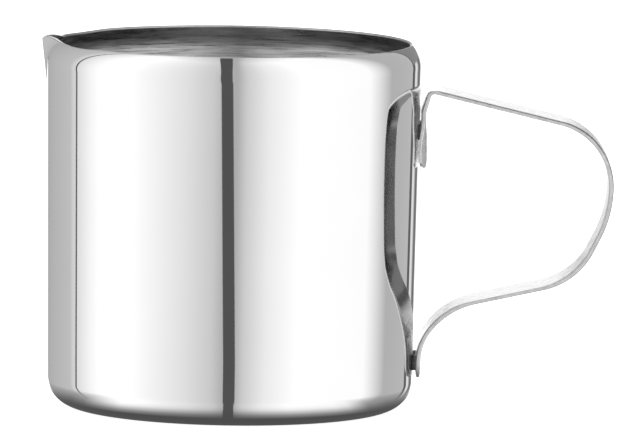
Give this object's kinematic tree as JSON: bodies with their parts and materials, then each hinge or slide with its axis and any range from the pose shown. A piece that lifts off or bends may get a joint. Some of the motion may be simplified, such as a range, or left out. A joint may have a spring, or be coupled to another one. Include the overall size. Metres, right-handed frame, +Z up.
{
  "type": "milk frothing pitcher",
  "caption": "Small straight-sided steel milk jug with an inward-curled rim, a pinched pouring beak and a bent strip handle welded opposite it.",
  "frame": {"origin": "centre of the flat base, on the surface that the jug stands on", "axes": "+Z up along the cup's axis, +X towards the handle, the beak towards -X"},
  "size_m": [0.0931, 0.0608, 0.0601],
  "materials": {
    "cup_steel": "mirror polished outside, brushed round inside",
    "handle_steel": "polished faces, dull rounded edges",
    "weld_steel": "dull dimpled weld spots with a faint heat tint"
  },
  "bodies": {
    "root": {"cup_body": "cup_steel", "handle_strip": "handle_steel", "upper_spot_welds": "weld_steel", "lower_spot_welds": "weld_steel"}
  },
  "joints": []
}
